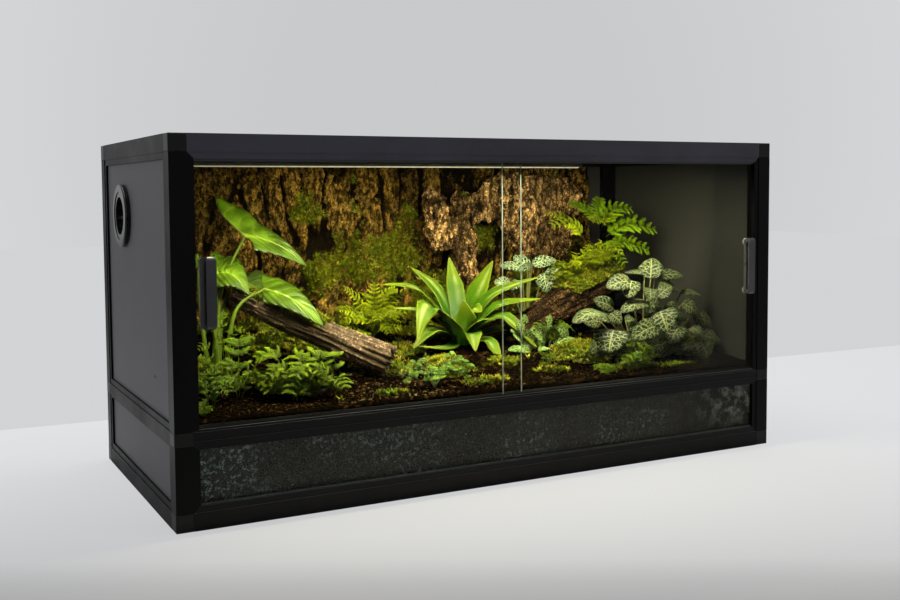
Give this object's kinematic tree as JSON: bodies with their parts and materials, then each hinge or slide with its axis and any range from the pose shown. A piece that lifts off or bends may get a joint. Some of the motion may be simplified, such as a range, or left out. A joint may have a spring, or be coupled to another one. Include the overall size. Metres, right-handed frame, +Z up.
{
  "type": "front opening terrarium",
  "caption": "Planted reptile terrarium with a black snap-together frame, sliding glass doors, a side vent, a light bar and a forest floor landscape.",
  "frame": {"origin": "middle of the cabinet's footprint, at the underside of the bottom rails", "axes": "+X to the right along the width as seen from the doors, +Y from the doors to the back, +Z up"},
  "size_m": [1.204, 0.548, 0.608],
  "materials": {
    "rails": "satin black coating on extruded profile",
    "connectors": "moulded black",
    "dark_panels": "matt black sheet",
    "grey_panels": "matt dark grey sheet",
    "glass": "clear float glass",
    "tracks": "extruded black",
    "vent": "moulded black",
    "light_body": "black",
    "light_lens": "frosted lens, lit",
    "clips": "sheet steel",
    "grommet": "soft black",
    "handles": "moulded black, satin",
    "pads": "clear adhesive pad",
    "leaves": "fresh waxy leaf",
    "ferns": "fresh leaf",
    "veined_leaves": "leaf with white veins",
    "soil": "moist loose substrate",
    "moss": "living moss",
    "bark": "rough cork bark",
    "logs": "weathered wood"
  },
  "bodies": {
    "cabinet": {"bottom_rail_front": "rails", "bottom_rail_back": "rails", "bottom_rail_left": "rails", "bottom_rail_right": "rails", "mid_rail_front": "rails", "mid_rail_back": "rails", "mid_rail_left": "rails", "mid_rail_right": "rails", "top_rail_front": "rails", "top_rail_back": "rails", "top_rail_left": "rails", "top_rail_right": "rails", "lower_posts": "rails", "upper_post_front_left": "rails", "upper_post_front_right": "rails", "upper_posts_back": "rails", "bottom_corners": "connectors", "top_corners": "connectors", "tee_connectors": "connectors", "floor_panel": "dark_panels", "lid_panel": "dark_panels", "back_panel_upper": "dark_panels", "back_panel_lower": "dark_panels", "right_panel_upper": "dark_panels", "right_panel_lower": "dark_panels", "left_panel_upper": "grey_panels", "left_panel_lower": "grey_panels", "front_window": "glass", "low_track": "tracks", "high_track": "tracks", "vent_flange": "vent", "vent_nut": "vent", "vent_grille": "vent", "vent_cap": "vent", "light_housing": "light_body", "light_lens": "light_lens", "light_end_caps": "light_body", "light_clips": "clips", "cable_grommet": "grommet", "soil": "soil", "moss_mounds": "moss", "bark_wall": "bark", "bark_trunk": "bark", "log_left": "logs", "log_right": "logs", "arrowhead_plant": "leaves", "bromeliad": "leaves", "nerve_plant_large": "veined_leaves", "nerve_plant_small": "veined_leaves", "fern_centre": "ferns", "fern_right": "ferns", "ferns_front": "ferns", "creeper": "ferns"},
    "left_door": {"left_pane": "glass", "left_handle": "handles", "left_handle_pads": "pads"},
    "right_door": {"right_pane": "glass", "right_handle": "handles", "right_handle_pads": "pads"},
    "shutter": {"vent_shutter": "vent"}
  },
  "joints": [
    {"name": "left_door_slide", "type": "slide", "parent": "cabinet", "child": "left_door", "axis": [1, 0, 0], "range_m": [0, 0.25]},
    {"name": "right_door_slide", "type": "slide", "parent": "cabinet", "child": "right_door", "axis": [-1, 0, 0], "range_m": [0, 0.25]},
    {"name": "shutter_turn", "type": "hinge", "parent": "cabinet", "child": "shutter", "pos_m": [-0.5853, 0.089, 0.4775], "axis": [1, 0, 0], "range_deg": [0, 22.5]}
  ]
}
